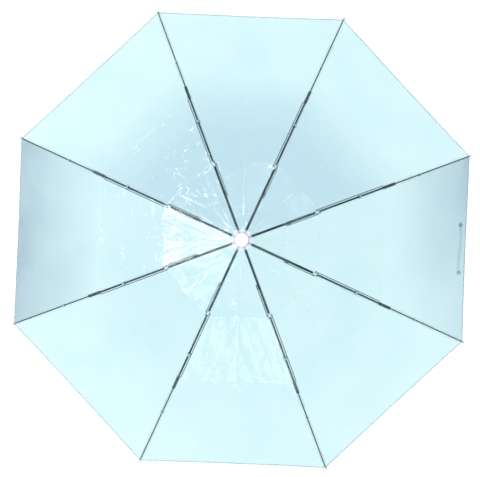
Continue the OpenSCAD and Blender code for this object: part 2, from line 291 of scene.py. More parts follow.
class Nodes:
    """A short way to build one material's nodes."""

    def __init__(self, name):
        self.mat = bpy.data.materials.new(name)
        self.mat.use_nodes = True
        self.tree = self.mat.node_tree
        self.shader = self.tree.nodes["Principled BSDF"]
        self.place = self.add("ShaderNodeTexCoord").outputs["Object"]

    def add(self, kind, **values):
        node = self.tree.nodes.new(kind)
        for key, value in values.items():
            if hasattr(node, key):
                setattr(node, key, value)
            else:
                node.inputs[key].default_value = value
        return node

    def link(self, a, b):
        self.tree.links.new(a, b)

    def constant(self, **values):
        for key, value in values.items():
            self.shader.inputs[key.replace("_", " ").title().replace("Ior", "IOR")].default_value = value

    def noise(self, scale, detail=3.0, stretch=(1, 1, 1)):
        mapping = self.add("ShaderNodeMapping")
        mapping.inputs["Scale"].default_value = stretch
        self.link(self.place, mapping.inputs["Vector"])
        node = self.add("ShaderNodeTexNoise")
        node.inputs["Scale"].default_value = scale
        node.inputs["Detail"].default_value = detail
        self.link(mapping.outputs["Vector"], node.inputs["Vector"])
        return node.outputs["Fac"]

    def streaks(self, across, along, fine, coarse):
        """Noise drawn out along the rib, different in each panel."""
        place = self.add("ShaderNodeCombineXYZ")
        self.link(self.maths("MULTIPLY", across, fine), place.inputs["X"])
        self.link(self.maths("MULTIPLY", along, coarse), place.inputs["Y"])
        self.link(self.maths("MULTIPLY", self.attribute("panel"), 3.7), place.inputs["Z"])
        node = self.add("ShaderNodeTexNoise")
        node.inputs["Scale"].default_value = 1.0
        node.inputs["Detail"].default_value = 3.0
        self.link(place.outputs[0], node.inputs["Vector"])
        return node.outputs["Fac"]

    def maths(self, operation, a, b):
        node = self.add("ShaderNodeMath", operation=operation)
        for k, value in enumerate((a, b)):
            if isinstance(value, (int, float)):
                node.inputs[k].default_value = value
            else:
                self.link(value, node.inputs[k])
        return node.outputs[0]

    def ranged(self, value, from_min, from_max, to_min, to_max):
        node = self.add("ShaderNodeMapRange", interpolation_type="SMOOTHSTEP")
        self.link(value, node.inputs["Value"])
        for key, number in zip(
            ("From Min", "From Max", "To Min", "To Max"), (from_min, from_max, to_min, to_max)
        ):
            node.inputs[key].default_value = number
        return node.outputs["Result"]

    def blend(self, factor, a, b):
        node = self.add("ShaderNodeMix", data_type="RGBA")
        self.link(factor, node.inputs["Factor"])
        for key, colour in (("A", a), ("B", b)):
            socket = next(s for s in node.inputs if s.name == key and s.type == "RGBA")
            if isinstance(colour, (tuple, list)) or hasattr(colour, "hsv"):
                socket.default_value = (*tuple(colour)[:3], 1)
            else:
                self.link(colour, socket)
        return next(s for s in node.outputs if s.type == "RGBA")

    def attribute(self, name):
        return self.add("ShaderNodeAttribute", attribute_name=name).outputs["Fac"]

    def line(self, value, centre, width):
        """1 on the line where value is centre, falling to 0 at width from it."""
        off = self.maths("ABSOLUTE", self.maths("SUBTRACT", value, centre), 0)
        return self.ranged(off, 0, width, 1, 0)

    def bump(self, height, strength, distance):
        node = self.add("ShaderNodeBump")
        node.inputs["Strength"].default_value = strength
        node.inputs["Distance"].default_value = distance
        self.link(height, node.inputs["Height"])
        self.link(node.outputs["Normal"], self.shader.inputs["Normal"])


def film_material():
    """Clear film: see-through with a pale cyan tint, glossy, whitened along folds and welds."""
    p = props()
    n = Nodes("clear_film")
    run, seam, fold = n.attribute("run"), n.attribute("seam"), n.attribute("fold")
    wobble = n.maths("MULTIPLY", n.maths("SUBTRACT", n.noise(38, 4), 0.5), 0.006)
    wavy_run = n.maths("ADD", run, wobble)
    wavy_fold = n.maths("ADD", fold, n.maths("MULTIPLY", wobble, 0.25))
    inner = n.ranged(run, RUN_J * 0.96, RUN_J * 1.06, 1, 0)
    broken = n.ranged(n.noise(24, 3), 0.40, 0.66, 0.08, 0.8)
    lines = n.maths("MULTIPLY", n.line(wavy_fold, 0.0, 0.0036), n.maths("MULTIPLY", inner, broken))
    for centre, width in ((RUN_E, 0.0030), (RUN_J, 0.0034)):
        lines = n.maths("MAXIMUM", lines, n.maths("MULTIPLY", n.line(wavy_run, centre, width), broken))
    weld = n.maths("MULTIPLY", n.line(seam, 0.0062, 0.0011), 0.35)
    lines = n.maths("MAXIMUM", lines, weld)
    haze = n.ranged(n.noise(9, 5, (1, 1, 0.4)), 0.35, 0.7, 0, 1)
    scuffs = n.ranged(n.noise(140, 6, (1, 0.25, 1)), 0.62, 0.78, 0, 1)
    tint = n.blend(haze, p.film_colour, p.film_shade)
    # Painted shade: the film inside the second fold is darkened, most in the three far panels.
    tint = n.blend(n.attribute("depth"), tint, p.film_painted_shade)
    # Painted dark reflection: the two side panels turn grey-blue towards the hem, drawn into the film's tint.
    painted_reflection_mask = n.maths("MULTIPLY", n.attribute("shade"), n.ranged(n.noise(7, 3), 0.3, 0.7, 0.75, 1))
    tint = n.blend(painted_reflection_mask, tint, p.film_painted_reflection)
    clear = n.add("ShaderNodeBsdfTransparent")
    n.link(tint, clear.inputs["Color"])
    cover = n.maths("ADD", p.film_cover, n.maths("MULTIPLY", lines, 0.26))
    cover = n.maths("ADD", cover, n.maths("MULTIPLY", scuffs, 0.04))
    mix = n.add("ShaderNodeMixShader")
    n.link(cover, mix.inputs[0])
    n.link(clear.outputs[0], mix.inputs[1])
    n.link(n.shader.outputs[0], mix.inputs[2])
    n.link(mix.outputs[0], n.tree.nodes["Material Output"].inputs["Surface"])
    n.link(n.blend(lines, (0.05, 0.12, 0.14), (0.96, 0.99, 1.0)), n.shader.inputs["Base Color"])
    rough = n.maths("ADD", n.maths("MULTIPLY", haze, 0.05), 0.05)
    n.link(n.maths("ADD", rough, n.maths("MULTIPLY", lines, 0.2)), n.shader.inputs["Roughness"])
    ripple = n.maths("ADD", n.noise(26, 3), n.maths("MULTIPLY", n.noise(95, 2), 0.25))
    near = n.ranged(run, RUN_E * 0.3, RUN_J * 1.1, 1, 0.15)
    streak = n.maths("MULTIPLY", n.streaks(seam, run, 70, 8), near)
    n.bump(n.maths("ADD", ripple, streak), 0.8, 0.0042)
    # The coat covers a tenth of the film and carries its whole reflection, so its index is above plastic's
    n.constant(ior=2.4, specular_ior_level=1.0)
    return n.mat


def band_material(name, colour, alpha):
    """Doubled film of a hem, a tape or a strap, with a fine pressed grain."""
    n = Nodes(name)
    grain = n.noise(420, 2)
    patches = n.noise(30, 4)
    darker = [c * 0.86 for c in colour]
    n.link(n.blend(n.ranged(patches, 0.35, 0.65, 0, 1), colour, darker), n.shader.inputs["Base Color"])
    n.link(n.ranged(patches, 0.3, 0.7, alpha - 0.06, alpha + 0.06), n.shader.inputs["Alpha"])
    n.link(n.ranged(grain, 0.3, 0.7, 0.14, 0.3), n.shader.inputs["Roughness"])
    n.bump(grain, 0.3, 0.0004)
    n.constant(ior=1.54)
    return n.mat


def plastic_material(name, colour, rough, alpha=1.0):
    """Moulded plastic with faint flow marks and a fine surface grain."""
    n = Nodes(name)
    flow, grain = n.noise(24, 4, (1, 1, 0.3)), n.noise(700, 2)
    darker = [c * 0.93 for c in colour]
    n.link(n.blend(n.ranged(flow, 0.35, 0.7, 0, 1), colour, darker), n.shader.inputs["Base Color"])
    n.link(n.ranged(n.noise(60, 3), 0.3, 0.7, rough - 0.05, rough + 0.08), n.shader.inputs["Roughness"])
    n.bump(grain, 0.12, 0.0003)
    n.constant(ior=1.5, alpha=alpha)
    return n.mat


def enamel_material(name, colour, worn):
    """Stoved enamel on sheet steel: orange-peel gloss, dust and small rubbed places."""
    n = Nodes(name)
    rubbed = n.ranged(n.noise(320, 6), 0.66, 0.74, 0, 1)
    dust = n.ranged(n.noise(45, 5), 0.45, 0.75, 0, 0.5)
    base = n.blend(dust, colour, [c * 1.8 + 0.012 for c in colour])
    bare = (0.32, 0.36, 0.38)
    n.link(n.blend(n.maths("MULTIPLY", rubbed, worn), base, bare), n.shader.inputs["Base Color"])
    n.link(n.ranged(n.noise(180, 3), 0.3, 0.7, 0.16, 0.34), n.shader.inputs["Roughness"])
    n.bump(n.noise(900, 2), 0.15, 0.0002)
    n.constant(coat_weight=0.15, coat_roughness=0.15, specular_ior_level=0.35)
    return n.mat


def metal_material(name, colour, rough, stretch):
    """Bright metal with drawing marks along its length."""
    n = Nodes(name)
    marks = n.noise(900, 3, stretch)
    patches = n.ranged(n.noise(40, 3), 0.35, 0.7, 0, 1)
    n.link(n.blend(patches, colour, [c * 0.8 for c in colour]), n.shader.inputs["Base Color"])
    n.link(n.ranged(marks, 0.3, 0.7, rough - 0.06, rough + 0.1), n.shader.inputs["Roughness"])
    n.bump(marks, 0.1, 0.0002)
    n.constant(metallic=1.0)
    return n.mat


MADE = {}


def finish_named(name):
    """A finish by its slot's name, made once."""
    p = props()
    makers = {
        "clear_film": film_material,
        "hem_film": lambda: band_material("hem_film", (0.46, 0.58, 0.64), 0.42),
        "seam_tape": lambda: band_material("seam_tape", (0.30, 0.42, 0.46), 0.07),
        "washer_film": lambda: band_material("washer_film", (0.50, 0.54, 0.72), 0.55),
        "clear_strap": lambda: band_material("clear_strap", (0.80, 0.92, 0.96), 0.22),
        "white_plastic": lambda: plastic_material("white_plastic", tuple(p.white_colour), 0.26),
        "clear_plastic": lambda: plastic_material("clear_plastic", (0.80, 0.88, 0.90), 0.2, 0.82),
        "dark_plastic": lambda: plastic_material("dark_plastic", (0.03, 0.04, 0.045), 0.38),
        "black_steel": lambda: enamel_material("black_steel", tuple(p.rib_colour), 0.5),
        "wire_steel": lambda: enamel_material("wire_steel", tuple(p.wire_colour), 0.3),
        "tube_steel": lambda: metal_material("tube_steel", (0.72, 0.73, 0.75), 0.2, (1, 1, 0.02)),
        "bright_wire": lambda: metal_material("bright_wire", (0.7, 0.71, 0.72), 0.28, (1, 1, 1)),
        "spring_steel": lambda: metal_material("spring_steel", (0.55, 0.56, 0.6), 0.3, (1, 1, 0.05)),
        "floor": lambda: floor_material(),
    }
    if name not in MADE:
        MADE[name] = makers[name]()
    return MADE[name]


def floor_material():
    """Plain pale studio floor, mostly self-lit so that the side lights do not wash through the film."""
    n = Nodes("studio_floor")
    tone = n.ranged(n.noise(3, 2), 0.3, 0.7, 0.26, 0.28)
    shade = n.add("ShaderNodeCombineColor")
    for key in ("Red", "Green", "Blue"):
        n.link(tone, shade.inputs[key])
    n.link(shade.outputs[0], n.shader.inputs["Base Color"])
    n.constant(roughness=0.9, specular_ior_level=0.1, emission_color=(1, 1, 1, 1), emission_strength=0.90)
    return n.mat


# ---------------------------------------------------------------- settings


class UmbrellaSettings(bpy.types.PropertyGroup):
    """Sizes and colours of the umbrella's soft parts and finishes."""

    sag: bpy.props.FloatProperty(
        name="Film sag", description="How far a panel sags at the hem", default=0.006, unit="LENGTH"
    )
    waves: bpy.props.FloatProperty(
        name="Film waves", description="Height of the film's waves", default=0.0011, unit="LENGTH"
    )
    crease: bpy.props.FloatProperty(
        name="Crease depth", description="Depth of the folds left by packing", default=0.0006, unit="LENGTH"
    )
    hem_width: bpy.props.FloatProperty(
        name="Hem width", description="Width of the turned hem", default=0.0045, unit="LENGTH"
    )
    seam_width: bpy.props.FloatProperty(
        name="Seam width", description="Width of the welded tape over a rib", default=0.009, unit="LENGTH"
    )
    weld_pitch: bpy.props.FloatProperty(
        name="Weld pitch", description="Distance between weld dots", default=0.006, unit="LENGTH"
    )
    film_colour: bpy.props.FloatVectorProperty(
        name="Film tint",
        description="Tint of the film",
        default=(0.68, 0.885, 0.915), subtype="COLOR", size=3,
    )
    film_shade: bpy.props.FloatVectorProperty(
        name="Film shade",
        description="Tint where the film is hazy",
        default=(0.63, 0.86, 0.90), subtype="COLOR", size=3,
    )
    # Colour of the painted shade on the inner film, towards the crown.
    film_painted_shade: bpy.props.FloatVectorProperty(
        name="Inner tint",
        description="Tint of the film near the crown",
        default=(0.53, 0.73, 0.81), subtype="COLOR", size=3,
    )
    # Colour of the painted dark reflection on the two side panels near the hem.
    film_painted_reflection: bpy.props.FloatVectorProperty(
        name="Cloud tint",
        description="Tint of the side panels near the hem",
        default=(0.36, 0.50, 0.58), subtype="COLOR", size=3,
    )
    film_cover: bpy.props.FloatProperty(
        name="Film cover", description="Share of the gloss coat over the clear film", default=0.10
    )
    white_colour: bpy.props.FloatVectorProperty(
        name="White",
        description="Colour of the white mouldings",
        default=(0.86, 0.87, 0.88), subtype="COLOR", size=3,
    )
    rib_colour: bpy.props.FloatVectorProperty(
        name="Rib enamel",
        description="Colour of the ribs",
        default=(0.008, 0.016, 0.020), subtype="COLOR", size=3,
    )
    wire_colour: bpy.props.FloatVectorProperty(
        name="Wire enamel",
        description="Colour of the side wires",
        default=(0.03, 0.06, 0.07), subtype="COLOR", size=3,
    )
    camera_height: bpy.props.FloatProperty(
        name="Camera height", description="Height of the camera above the crown", default=2.4, unit="LENGTH"
    )
    camera_turn: bpy.props.FloatProperty(
        name="Camera turn",
        description="Turn of the camera about the shaft",
        default=math.radians(2.3), subtype="ANGLE",
    )
    lens: bpy.props.FloatProperty(name="Lens", description="Focal length in millimetres", default=99.3)


def props():
    """The scene's umbrella settings."""
    return bpy.context.scene.umbrella


# ---------------------------------------------------------------- repeated details


def dot_tree(material):
    """Geometry nodes that set small round dots along a path: Pitch and Radius are its sizes."""
    tree = bpy.data.node_groups.new("dots_on_path", "GeometryNodeTree")
    face = tree.interface
    face.new_socket("Geometry", in_out="INPUT", socket_type="NodeSocketGeometry")
    for name, value in (("Pitch", 0.006), ("Radius", 0.0005)):
        face.new_socket(name, in_out="INPUT", socket_type="NodeSocketFloat").default_value = value
    face.new_socket("Geometry", in_out="OUTPUT", socket_type="NodeSocketGeometry")
    new, link = tree.nodes.new, tree.links.new
    inp, out = new("NodeGroupInput"), new("NodeGroupOutput")
    curve, points = new("GeometryNodeMeshToCurve"), new("GeometryNodeCurveToPoints")
    points.mode = "LENGTH"
    ball, place = new("GeometryNodeMeshIcoSphere"), new("GeometryNodeInstanceOnPoints")
    ball.inputs["Subdivisions"].default_value = 1
    real, paint = new("GeometryNodeRealizeInstances"), new("GeometryNodeSetMaterial")
    paint.inputs["Material"].default_value = material
    link(inp.outputs["Geometry"], curve.inputs[0])
    link(curve.outputs[0], points.inputs["Curve"])
    link(inp.outputs["Pitch"], points.inputs["Length"])
    link(inp.outputs["Radius"], ball.inputs["Radius"])
    link(points.outputs["Points"], place.inputs["Points"])
    link(ball.outputs["Mesh"], place.inputs["Instance"])
    link(place.outputs[0], real.inputs[0])
    link(real.outputs[0], paint.inputs["Geometry"])
    link(paint.outputs[0], out.inputs[0])
    return tree


def ring_tree(material):
    """Geometry nodes that stack equal rings upwards: Count, Spacing, Radius and Thickness are its sizes."""
    tree = bpy.data.node_groups.new("stacked_rings", "GeometryNodeTree")
    face = tree.interface
    face.new_socket("Geometry", in_out="INPUT", socket_type="NodeSocketGeometry")
    face.new_socket("Count", in_out="INPUT", socket_type="NodeSocketInt").default_value = 6
    for name, value in (("Spacing", 0.006), ("Radius", 0.014), ("Thickness", 0.0008)):
        face.new_socket(name, in_out="INPUT", socket_type="NodeSocketFloat").default_value = value
    face.new_socket("Geometry", in_out="OUTPUT", socket_type="NodeSocketGeometry")
    new, link = tree.nodes.new, tree.links.new
    inp, out = new("NodeGroupInput"), new("NodeGroupOutput")
    ring, section = new("GeometryNodeCurvePrimitiveCircle"), new("GeometryNodeCurvePrimitiveCircle")
    ring.inputs["Resolution"].default_value = 72
    section.inputs["Resolution"].default_value = 8
    tube, repeat = new("GeometryNodeCurveToMesh"), new("GeometryNodeInstanceOnPoints")
    line, step = new("GeometryNodeMeshLine"), new("ShaderNodeCombineXYZ")
    move, real, paint = (
        new("GeometryNodeTransform"),
        new("GeometryNodeRealizeInstances"),
        new("GeometryNodeSetMaterial"),
    )
    paint.inputs["Material"].default_value = material
    centre = new("GeometryNodeBoundBox")
    link(inp.outputs["Geometry"], centre.inputs[0])
    link(inp.outputs["Radius"], ring.inputs["Radius"])
    link(inp.outputs["Thickness"], section.inputs["Radius"])
    link(ring.outputs[0], tube.inputs["Curve"])
    link(section.outputs[0], tube.inputs["Profile Curve"])
    link(inp.outputs["Count"], line.inputs["Count"])
    link(inp.outputs["Spacing"], step.inputs["Z"])
    link(step.outputs[0], line.inputs["Offset"])
    link(line.outputs[0], move.inputs["Geometry"])
    link(centre.outputs["Min"], move.inputs["Translation"])
    link(move.outputs[0], repeat.inputs["Points"])
    link(tube.outputs[0], repeat.inputs["Instance"])
    link(repeat.outputs[0], real.inputs[0])
    link(real.outputs[0], paint.inputs["Geometry"])
    link(paint.outputs[0], out.inputs[0])
    return tree


def grown(name, tree, paths, **sizes):
    """A plain mesh of what the tree grows on the given paths."""
    verts, edges = [], []
    for path in paths:
        start = len(verts)
        verts += [tuple(p) for p in path]
        edges += [(start + k, start + k + 1) for k in range(len(path) - 1)]
    seed = bpy.data.meshes.new(name + "_path")
    seed.from_pydata(verts, edges, [])
    carrier = bpy.data.objects.new(name + "_path", seed)
    bpy.context.scene.collection.objects.link(carrier)
    modifier = carrier.modifiers.new("grow", "NODES")
    modifier.node_group = tree
    for item in tree.interface.items_tree:
        if item.item_type == "SOCKET" and item.in_out == "INPUT" and item.name in sizes:
            modifier[item.identifier] = sizes[item.name]
    bpy.context.view_layer.update()
    ready = carrier.evaluated_get(bpy.context.evaluated_depsgraph_get())
    mesh = bpy.data.meshes.new_from_object(ready)
    mesh.name = name
    ob = bpy.data.objects.new(name, mesh)
    bpy.context.scene.collection.objects.link(ob)
    bpy.data.objects.remove(carrier)
    mesh.polygons.foreach_set("use_smooth", [True] * len(mesh.polygons))
    return ob


# ---------------------------------------------------------------- pieces


def crush(ob, i, side, section):
    """Gives a soft piece beside rib i its own copy of its mesh; the film points it works out for the section are
    not used.
    """
    start, end = next((a, b) for name, a, b, _ in SECTIONS if name == section)
    panel, share = half_place(i, side)
    low, high = film_point(panel, start, share(0)), film_point(panel, end, share(0))
    out = film_point(panel, end, share(1)) - high
    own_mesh(ob)


def film_half(i, side, section, start, end):
    """One half panel of film over one section of rib i."""
    rows = max(14, round((end - start) / 0.0055))
    cols = 26
    panel, share = half_place(i, side)
    verts, seam, fold, run, shade, depth = [], [], [], [], [], []
    for a in range(rows):
        s = start + (end - start) * a / (rows - 1)
        half = flat_radius(film_point(panel, s, 0)) * math.sin(STEP / 2)
        for c in range(cols):
            t = 1 - (1 - c / (cols - 1)) ** 1.25
            verts.append(film_point(panel, s, share(t)))
            seam.append(half * t)
            fold.append(half * (1 - t))
            run.append(s)
            # The shade attribute carries the painted dark reflection of the two side panels.
            shade.append(painted_reflection_share(panel, s, share(t)))
            # The depth attribute carries the painted shade of the inner film.
            depth.append(painted_shade_share(panel, s))
    side_name = "left" if side > 0 else "right"
    name = f"film_{section}_{i}_{side_name}"
    ob = make_mesh(name, verts, grid_faces(rows, cols, side < 0), finish_named("clear_film"))
    numbers = {"seam": seam, "fold": fold, "run": run, "shade": shade, "depth": depth}
    numbers["panel"] = [panel % RIBS] * len(run)
    for key, values in numbers.items():
        ob.data.attributes.new(key, "FLOAT", "POINT").data.foreach_set("value", values)
    uv = ob.data.uv_layers.new(name="UVMap")
    for loop in ob.data.loops:
        uv.data[loop.index].uv = (seam[loop.vertex_index], run[loop.vertex_index])
    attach(ob, f"{section}_rib_{i}")
    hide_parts("canopy")
    crush(ob, i, side, section)
    return ob


class UMBRELLA_OT_film(bpy.types.Operator):
    """Lay the clear film over the ribs as eight gores, each half panel hung on its rib's section"""

    bl_idname = "umbrella.film"
    bl_label = "Film canopy"

    def execute(self, context):
        for i in range(1, RIBS + 1):
            for section, start, end, keep in SECTIONS:
                for side in (1, -1):
                    film_half(i, side, section, start, end)
        rows, cols = 7, 8 * RIBS + 1
        verts = []
        for a in range(rows):
            s = RUN_NECK * a / (rows - 1)
            for c in range(cols):
                panel, f = divmod(c, 8)
                p = film_point(panel + 1, s, f / 8)
                verts.append(p)
        ob = face_out(make_mesh("film_crown", verts, grid_faces(rows, cols), finish_named("washer_film")))
        up = sum(f.normal.z for f in ob.data.polygons)
        if up < 0:
            ob.data.flip_normals()
        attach(ob, "top_shaft")
        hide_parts("canopy")
        return {"FINISHED"}


class UMBRELLA_OT_hem(bpy.types.Operator):
    """Turn the film's edge over into a slim welded hem"""

    bl_idname = "umbrella.hem"
    bl_label = "Hem"

    def execute(self, context):
        width = props().hem_width
        cols = 30
        profile = ((width, 0.0003), (0.0006, 0.0005), (-0.0004, 0.0), (0.0006, -0.0005), (width, -0.0003))
        for i in range(1, RIBS + 1):
            for side, word in ((1, "left"), (-1, "right")):
                panel, share = half_place(i, side)
                verts = []
                for c in range(cols):
                    f = share(c / (cols - 1))
                    verts += [film_point(panel, FILM_RUN - back, f, lift) for back, lift in profile]
                n = len(profile)
                faces = grid_faces(cols, n, side < 0)
                faces += [
                    (c * n, c * n + n - 1, c * n + 2 * n - 1, (c + 1) * n) for c in range(cols - 1)
                ]
                ob = face_out(make_mesh(f"hem_{i}_{word}", verts, faces, finish_named("hem_film")))
                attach(ob, f"outer_rib_{i}")
                crush(ob, i, side, "outer")
        return {"FINISHED"}


def rib_path(i, start, end, aside, lift, step=0.004):
    """Points along the film over rib i, moved aside and up."""
    n = max(2, round((end - start) / step))
    a = rib_angle(i)
    across = Vector((-math.sin(a), math.cos(a), 0))
    out = []
    for k in range(n + 1):
        r, z = on_line(start + (end - start) * k / n)
        out.append(Vector((r * math.cos(a), r * math.sin(a), z + lift)) + across * aside)
    return out


class UMBRELLA_OT_seams(bpy.types.Operator):
    """Weld a clear tape over every rib, with rows of weld dots along its edges"""

    bl_idname = "umbrella.seams"
    bl_label = "Seams and weld dots"

    def execute(self, context):
        p = props()
        tree = dot_tree(finish_named("seam_tape"))
        for i in range(1, RIBS + 1):
            a = rib_angle(i)
            across = Vector((-math.sin(a), math.cos(a), 0))
            for section, start, end, _ in SECTIONS:
                stop = end - (0.002 if section == "outer" else 0.0003)
                line = rib_path(i, start + 0.0003, stop, 0, 0.0003)
                tape = band(
                    f"seam_{section}_{i}",
                    line,
                    [across] * len(line),
                    [Vector((0, 0, 1))] * len(line),
                    p.seam_width / 2,
                    0.0003,
                    finish_named("seam_tape"),
                )
                paths = [rib_path(i, start, stop, q * p.seam_width * 0.36, 0.0006) for q in (-1, 1)]
                dots = grown(f"weld_dots_{section}_{i}", tree, paths, Pitch=p.weld_pitch, Radius=0.0004)
                for ob in (tape, dots):
                    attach(ob, f"{section}_rib_{i}")
        return {"FINISHED"}


def oriented(i, p, along, across_by, up_by, along_by):
    """A point beside p in rib i's plane, by the given amounts across, up and along the rib."""
    a = rib_angle(i)
    across = Vector((-math.sin(a), math.cos(a), 0))
    up = across.cross(along) * -1
    return p + across * across_by + up * up_by + along * along_by


def ring_about(name, i, p, along, inner, outer, length, material, turns=28):
    """A short rounded sleeve about the rib at p."""
    profile = [(inner, -length / 2), (outer - 0.0003, -length / 2), (outer, -length / 2 + 0.0003)]
    profile += [(outer, length / 2 - 0.0003), (outer - 0.0003, length / 2), (inner, length / 2)]
    verts, faces = [], []
    n = len(profile)
    for k in range(turns):
        t = math.tau * k / turns
        for r, x in profile:
            verts.append(oriented(i, p, along, r * math.cos(t), r * math.sin(t), x))
    for k in range(turns):
        a, b = k * n, (k + 1) % turns * n
        faces += [(a + j, b + j, b + (j + 1) % n, a + (j + 1) % n) for j in range(n)]
    return face_out(make_mesh(name, verts, faces, material))


def wire_direction(i, run):
    """The direction along the film over rib i at a distance from the crown."""
    a, b = rib_path(i, run - 0.002, run, 0, 0, 0.002)[:2]
    return (b - a).normalized()


class UMBRELLA_OT_tips(bpy.types.Operator):
    """Fit a clear cup on every rib end and clear ties that hold the film to the ribs"""

    bl_idname = "umbrella.tips"
    bl_label = "Tip cups and ties"

    def execute(self, context):
        for i in range(1, RIBS + 1):
            a = rib_angle(i)
            along = wire_direction(i, FILM_RUN)
            tip = self.cup_start(i, along)
            profile = [(0, -0.004), (0.0021, -0.004), (0.0026, -0.0035), (0.0024, 0.0), (0.0030, 0.0008)]
            profile += [(0.0032, 0.0022), (0.0030, 0.0040), (0.0022, 0.0054), (0.0010, 0.0061), (0, 0.0063)]
            verts, faces, turns = [], [], 28
            rings = profile[1:-1]
            for k in range(turns):
                t = math.tau * k / turns
                verts += [oriented(i, tip, along, r * math.cos(t), r * math.sin(t), x) for r, x in rings]
            verts += [oriented(i, tip, along, 0, 0, profile[end][1]) for end in (0, -1)]
            n = len(rings)
            for k in range(turns):
                b, c = k * n, (k + 1) % turns * n
                faces += [(b + j, c + j, c + j + 1, b + j + 1) for j in range(n - 1)]
                faces += [(len(verts) - 2, c, b), (len(verts) - 1, b + n - 1, c + n - 1)]
            cup = face_out(make_mesh(f"tip_cup_{i}", verts, faces, finish_named("clear_plastic")))
            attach(cup, f"outer_rib_{i}")
            ties = (("middle", RUN_J - 0.055, 0.0039, 0.0038), ("outer", RUN_J + 0.09, 0.0036, 0.0026))
            for word, run, drop, size in ties:
                r, z = on_line(run)
                way = wire_direction(i, run)
                place = oriented(i, Vector((r * math.cos(a), r * math.sin(a), z)), way, 0, -drop, 0)
                clear = finish_named("clear_plastic")
                tie = ring_about(f"film_tie_{word}_{i}", i, place, way, size - 0.0006, size, 0.005, clear)
                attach(tie, f"{word}_rib_{i}")
        return {"FINISHED"}

    def cup_start(self, i, along):
        """The middle of the cup that the CAD rib carries, found from the rib's own outermost points."""
        a = rib_angle(i)
        radial = Vector((math.cos(a), math.sin(a), 0))
        points = [v.co for v in frame["nodes"][f"outer_rib_{i}"].data.vertices]
        far = max(p.dot(radial) for p in points)
        near = [p for p in points if p.dot(radial) > far - 0.004]
        middle = sum(near, Vector()) / len(near)
        return middle - along * 0.002


class UMBRELLA_OT_cap(bpy.types.Operator):
    """Turn the white cap that clamps the film on the crown"""

    bl_idname = "umbrella.cap"
    bl_label = "Top cap"

    def execute(self, context):
        low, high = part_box("top_cap")
        rim = (high[0] - low[0]) / 2
        crown_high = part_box("crown")[1][2]
        under = crown_high + 0.0009
        top = high[2] - 0.0004
        base = Vector((0, 0, 0))
        profile = [(0, under), (rim - 0.0012, under), *arc(rim - 0.0009, under + 0.0009, 0.0009, -70, 60, 5)]
        profile += [(rim - 0.0010, under + 0.0020), (rim - 0.0018, under + 0.0024)]
        shoulder = top - 0.0026
        for k in range(1, 9):
            t = k / 9
            rise = (shoulder - under - 0.0024) * math.sin(t * math.pi / 2)
            profile.append((rim - 0.0018 - (rim - 0.0066) * t, under + 0.0024 + rise))
        profile += [(0.0046, shoulder + 0.0001), (0.0043, shoulder - 0.0005), (0.0038, shoulder - 0.0004)]
        profile += [*arc(0.0028, shoulder + 0.0012, 0.0009, 0, 70, 4), (0.0016, top), (0, top)]
        cap = lathe("cap_dome", profile, base, finish_named("white_plastic"), 80)
        spigot = lathe(
            "cap_spigot",
            [
                (0, under - 0.0075),
                (0.0044, under - 0.0075),
                (0.0049, under - 0.0068),
                (0.0049, under + 0.0004),
                (0, under + 0.0004),
            ],
            base,
            finish_named("white_plastic"),
            40,
        )
        gate_height = under + 0.0046
        rivets = []
        for k in range(3):
            a = math.radians(90 + 120 * k)
            p = Vector((0.0078 * math.cos(a), 0.0078 * math.sin(a), gate_height))
            rivets.append(
                lathe(
                    f"cap_gate_{k + 1}",
                    [(0, -0.001), (0.0009, -0.001), (0.0010, 0.0006), (0.0007, 0.0010), (0, 0.0011)],
                    p,
                    finish_named("white_plastic"),
                    20,
                )
            )
        for ob in (cap, spigot, *rivets):
            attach(ob, "top_shaft")
        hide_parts("top_cap")
        return {"FINISHED"}


class UMBRELLA_OT_strap(bpy.types.Operator):
    """Hang the clear closure strap with its two snaps inside the hem"""

    bl_idname = "umbrella.strap"
    bl_label = "Closure strap"

    def execute(self, context):
        low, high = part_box("closure_strap")
        middle = (Vector(low) + Vector(high)) / 2
        half = (high[1] - low[1]) / 2
        rows, cols, wide = 48, 7, 0.0058
        verts = []
        slope = wire_direction(1, FILM_RUN - 0.02)
        lean = math.atan2(-slope.z, math.hypot(slope.x, slope.y))
        for r in range(rows):
            t = 2 * r / (rows - 1) - 1
            trim = math.sqrt(max(0.0, 1 - max(0.0, abs(t) - 0.9) ** 2 / 0.01)) if abs(t) > 0.9 else 1.0
            bow = 0.0016 * math.sin(3.1 * t + 0.4)
            for c in range(cols):
                w = wide * (2 * c / (cols - 1) - 1) * max(0.25, trim)
                x = middle.x + w * math.cos(lean) + bow
                z = middle.z - w * math.sin(lean) + 0.0008 * math.cos(2.3 * t)
                verts.append(Vector((x, middle.y + half * t, z)))
        strap = make_mesh("strap_band", verts, grid_faces(rows, cols), finish_named("clear_strap"))
        if sum(f.normal.z for f in strap.data.polygons) < 0:
            strap.data.flip_normals()
        snaps = []
        for k, t in enumerate((-0.87, 0.87)):
            centre = Vector((middle.x, middle.y + half * t, middle.z - 0.0006))
            profile = [(0, -0.0009), (0.0030, -0.0009), (0.0040, -0.0004), (0.0042, 0.0004), (0.0040, 0.0014)]
            profile += [(0.0026, 0.0018), (0.0022, 0.0013), (0.0012, 0.0013), (0.0008, 0.0020), (0, 0.0021)]
            snaps.append(lathe(f"strap_snap_{k + 1}", profile, centre, finish_named("white_plastic"), 36))
        for ob in (strap, *snaps):
            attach(ob, "outer_rib_1")
            crush(ob, 1, -1, "outer")
        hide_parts("closure_strap")
        return {"FINISHED"}


